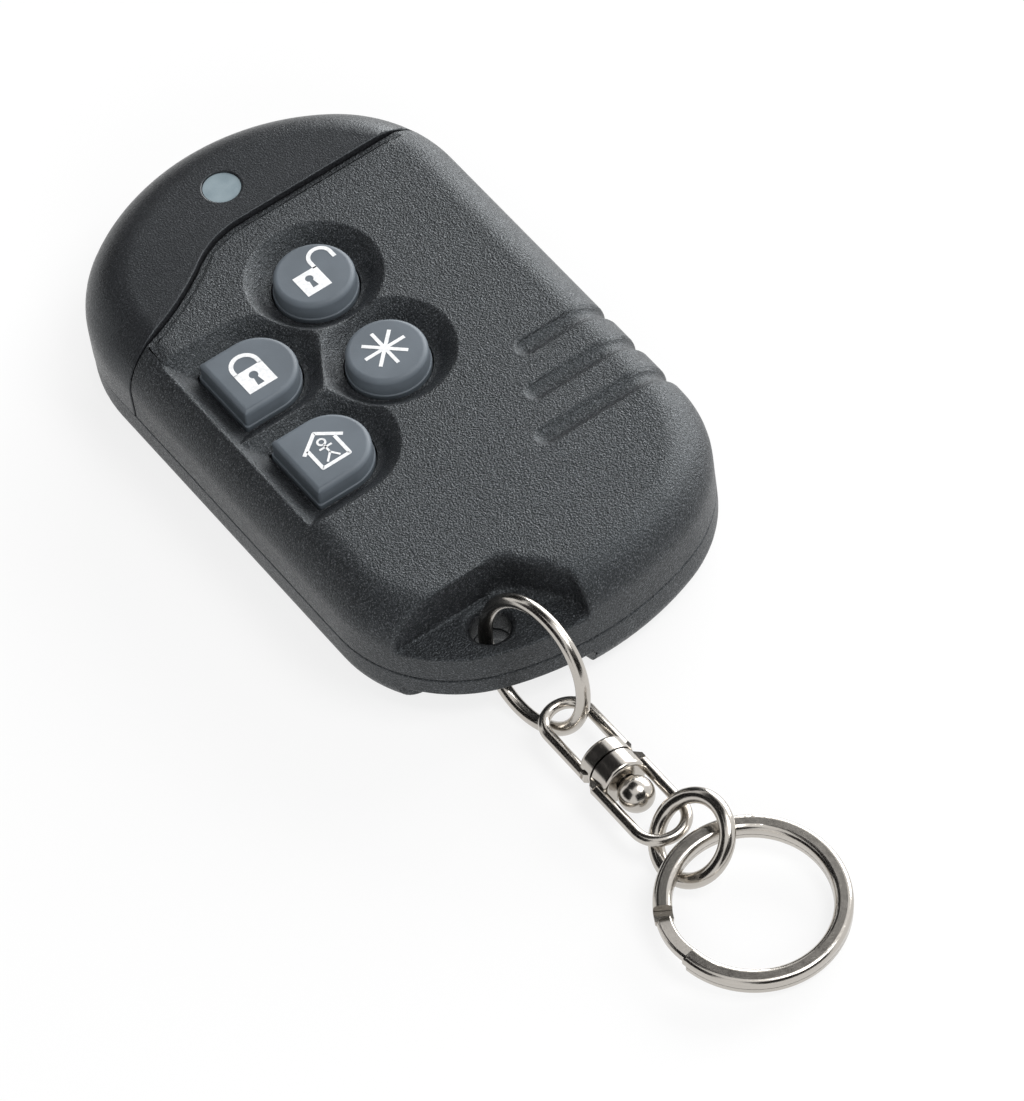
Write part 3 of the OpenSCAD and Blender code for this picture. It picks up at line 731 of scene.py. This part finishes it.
def plates(outlines, copies=1):
    """Fills the space between the outlines, in mm, and turns copies of it round the middle."""
    bm = bmesh.new()
    edges = []
    for points in outlines:
        ring = [bm.verts.new((x * MM, y * MM, 0)) for x, y in points]
        edges += [bm.edges.new((ring[i - 1], ring[i])) for i in range(len(ring))]
    bmesh.ops.triangle_fill(bm, edges=edges, use_beauty=True, normal=(0, 0, 1))
    for face in bm.faces:
        if face.normal.z < 0:
            face.normal_flip()
    sizes = {"Copies": copies, "Ink height": INK_MM * MM}
    return run_tree(finished_mesh(bm, "outlines"), ink_plates, sizes)


print("strokes and plates are", INK_MM, "mm thick")


# %% Laying a sign on its key
def print_sign(sign, at, parts):
    """Joins the inked parts, whose middle is at (0, 0), and lays them on the key."""
    bm = bmesh.new()
    for part in parts:
        bm.from_mesh(part)
    key_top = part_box("key_" + sign)[1][2]
    shift = (at[0] * MM, at[1] * MM, key_top - INK_SINK_MM * MM)
    bmesh.ops.translate(bm, verts=bm.verts, vec=shift)
    bmesh.ops.recalc_face_normals(bm, faces=bm.faces)
    for face in bm.faces:
        face.smooth = False
    mesh = finished_mesh(bm, "sign_" + sign)
    mesh.materials.append(sign_ink)
    piece = add_object("sign_" + sign, mesh)
    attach(piece, sign + "_key")
    spots = np.array([v.co for v in mesh.vertices]) / MM
    box = spots.min(0).round(2), "to", spots.max(0).round(2)
    print(piece.name, len(mesh.polygons), "faces,", *box)


def arc(x, y, radius, start_deg, end_deg, steps=16):
    angles = [
        math.radians(start_deg + (end_deg - start_deg) * i / steps) for i in range(steps + 1)
    ]
    return [(x + radius * math.cos(a), y + radius * math.sin(a)) for a in angles]


def box_outline(x0, y0, x1, y1):
    return [(x0, y0), (x1, y0), (x1, y1), (x0, y1)]


def keyhole(x, y, size):
    """A round hole with a flared slot under it."""
    half, low = 0.8 * size, y - 2.9 * size
    return arc(x, y, size, -60, 240, steps=20) + [(x - half, low), (x + half, low)]


print("sign helpers are ready")

# %% The two padlocks
UNLOCK_AT, LOCK_AT, STAR_AT, HOME_AT = (-0.57, 10.36), (-10.32, 4.66), (0, 0.2), (-10.1, -5.4)
open_shackle = [(1.05, 1.1)] + arc(2.08, 1.84, 1.03, 180, 0) + [(3.11, 1.12)]
print_sign("unlock", UNLOCK_AT, [
    plates([box_outline(-1.23, -1.25, 1.23, 1.25), keyhole(-0.02, 0.42, 0.37)]),
    strokes([open_shackle], width_mm=0.37),
])
shut_shackle = [(-1.23, 1.2)] + arc(0, 1.6, 1.23, 180, 0) + [(1.23, 1.2)]
print_sign("lock", LOCK_AT, [
    plates([box_outline(-1.43, -1.25, 1.43, 1.25), keyhole(0.02, 0.36, 0.42)]),
    strokes([shut_shackle], width_mm=0.40),
])

# %% The star and the house
ARMS, ARM_LENGTH, ARM_HALF = 8, 2.03, 0.165
notch = ARM_HALF / math.sin(math.pi / ARMS)
dip = (notch * math.cos(math.pi / ARMS), notch * math.sin(math.pi / ARMS))
arm = [(0, 0), (dip[0], -dip[1]), (ARM_LENGTH, -ARM_HALF), (ARM_LENGTH, ARM_HALF), dip]
print_sign("star", STAR_AT, [plates([arm], ARMS)])
roof = [(-1.92, 0.22), (0.1, 1.78), (2.05, 0.22)]
walls = [(-1.38, 0.50), (-1.38, -1.85), (1.35, -1.85), (1.35, 0.50)]
head = arc(0.08, 0.60, 0.34, 90, 450)
trunk, arms = [(0.08, 0.26), (0.08, -0.75)], [(-0.55, -0.05), (0.70, -0.05)]
legs = [(-0.68, -1.50), (0.08, -0.72), (0.62, -1.50)]
print_sign("home", HOME_AT, [
    strokes([roof, walls], width_mm=0.34, corner_mm=0.05),
    strokes([head, trunk, arms, legs], width_mm=0.19, corner_mm=0.03),
])

# %% [markdown]
# ## Floor, light and camera
# The photograph has a plain white ground. The floor and the world are white for the camera, for
# mirror-like rays and for rays through clear pieces, and the floor still takes a soft shadow. For
# the light that they throw on the object, both are only a dim fill.

# %% Floor and world
FLOOR_SIZE, FLOOR_Z = 6.0, -0.00002
PAPER_LEVEL, GLOW_SHARE = 0.86, 0.80
FILL_LEVEL = 0.32


def ground_rays(bench):
    """1 for camera, mirror and see-through rays."""
    path = bench.node("ShaderNodeLightPath")
    seen = path.out("Is Camera Ray").high(path.out("Is Glossy Ray"))
    return seen.high(path.out("Is Transmission Ray"))


def pale_floor():
    material, bench = empty_material("pale_floor")
    paper = bench.node("ShaderNodeBsdfDiffuse", values={"Color": grey(PAPER_LEVEL)})
    glow = bench.node("ShaderNodeEmission", values={"Color": grey(1), "Strength": 1.0})
    share = ground_rays(bench) * GLOW_SHARE
    mixed = bench.node("ShaderNodeMixShader", values={0: share, 1: paper, 2: glow})
    bench.node("ShaderNodeOutputMaterial", values={"Surface": mixed})
    return material


bpy.ops.mesh.primitive_plane_add(size=FLOOR_SIZE, location=(0, 0, FLOOR_Z))
floor = bpy.context.object
floor.name = "floor"
floor.data.materials.append(pale_floor())

world = bpy.data.worlds.new("studio")
bpy.context.scene.world = world
world.use_nodes = True
world.node_tree.nodes.clear()
sky = Bench(world.node_tree)
strength = FILL_LEVEL + (1 - FILL_LEVEL) * ground_rays(sky)
background = sky.node("ShaderNodeBackground", values={"Color": grey(1), "Strength": strength})
sky.node("ShaderNodeOutputWorld", values={"Surface": background})
print("floor and world are set")

# %% [markdown]
# ### Dark cards
# Bright metal on a white ground would vanish. A photographer sets black cards round the object,
# and the metal mirrors them as dark bands. These cards are stage pieces that only mirror-like rays
# see, so they shade nothing and no camera shows them.

# %% Dark cards for the reflections
OBJECT_MIDDLE = (0, -0.018, 0)
FELT_MM = 40.0
card_black, card_bench, card_shader = start_material("card_black", Specular_IOR_Level=0.0)
felt = noise(card_bench, place_on(card_bench), FELT_MM)
card_bench.fill(card_shader["Base Color"], card_bench.mix(felt, grey(0.010), grey(0.016)))


def facing_object(place):
    """A place, turned to the middle of the object."""
    turn = (Vector(OBJECT_MIDDLE) - Vector(place)).to_track_quat("-Z", "Y")
    return Matrix.Translation(place) @ turn.to_matrix().to_4x4()


def dark_card(name, place, width, height):
    mesh = bpy.data.meshes.new(name)
    w, h = width / 2, height / 2
    mesh.from_pydata([(-w, -h, 0), (w, -h, 0), (w, h, 0), (-w, h, 0)], [], [(0, 1, 2, 3)])
    mesh.transform(facing_object(place))
    mesh.materials.append(card_black)
    card = add_object(name, mesh)
    card.visible_camera = card.visible_diffuse = card.visible_shadow = False
    card.visible_transmission = card.visible_volume_scatter = False


dark_card("left_card", (-0.60, 0.10, 0.36), width=0.9, height=0.66)
dark_card("top_card", (-0.05, 0.30, 0.72), width=0.75, height=0.65)
dark_card("back_card", (0.10, 0.75, 0.24), width=0.90, height=0.56)
dark_card("front_card", (0.05, -0.75, 0.45), width=1.1, height=0.7)
print("cards are set")

# %% [markdown]
# ### Lamps and camera
# The main lamp is a wide softbox, low on the right and behind the fob. Its light rakes over the
# grain and the keys. Width matters: a small lamp of the same power would show as a white glare in
# views from the left. A small lamp overhead lifts the front face. One in front only fills, so
# mirror-like rays don't see it. The camera's angles, distance and lens were fitted to the outline,
# the parting line and the keys in the photograph.


# %% Lamps
def softbox(name, place, width, length, power):
    lamp = bpy.data.lights.new(name, "AREA")
    lamp.shape, lamp.size, lamp.size_y, lamp.energy = "RECTANGLE", width, length, power
    made = add_object(name, lamp)
    made.matrix_world = facing_object(place)
    return made


softbox("right_box", (0.70, 0.35, 0.25), width=0.95, length=0.50, power=11.3)
softbox("over_box", (0.24, -0.28, 0.64), width=0.34, length=0.34, power=2.5)
front_box = softbox("front_box", (-0.25, -0.70, 0.35), width=0.40, length=0.40, power=2.6)
front_box.visible_glossy = False
print("lamps are set")

# %% Camera
AZIMUTH, ELEVATION, ROLL = (math.radians(angle) for angle in (-28.240, 51.388, -9.040))
TARGET = Vector((0.173, -16.315, 0)) * MM
DISTANCE = 650.5 * MM
FOCAL_PX, PHOTO_PX, SENSOR_MM = 7656.5, 1101, 36  # fitted focal length, height of the photo
LENS = FOCAL_PX * SENSOR_MM / PHOTO_PX
NEAR, FAR = 0.01, 20
back = Vector((
    math.sin(AZIMUTH) * math.cos(ELEVATION),
    -math.cos(AZIMUTH) * math.cos(ELEVATION),
    math.sin(ELEVATION),
))
level = Vector((math.cos(AZIMUTH), math.sin(AZIMUTH), 0))
upward = back.cross(level)
right = math.cos(ROLL) * level + math.sin(ROLL) * upward
up = math.cos(ROLL) * upward - math.sin(ROLL) * level
axes = Matrix((right, up, back)).transposed().to_4x4()
camera = add_object("camera", bpy.data.cameras.new("camera"))
camera.data.lens, camera.data.sensor_width = LENS, SENSOR_MM
camera.data.clip_start, camera.data.clip_end = NEAR, FAR
camera.matrix_world = Matrix.Translation(TARGET + back * DISTANCE) @ axes
bpy.context.scene.camera = camera
bpy.context.scene.view_settings.view_transform = "Standard"
print("camera at", [round(v, 4) for v in camera.location], "lens", round(LENS, 2))

# %% [markdown]
# ## Size
# Roundings and ink must not make the object larger than its CAD solids.

# %% Finish
print("finished")
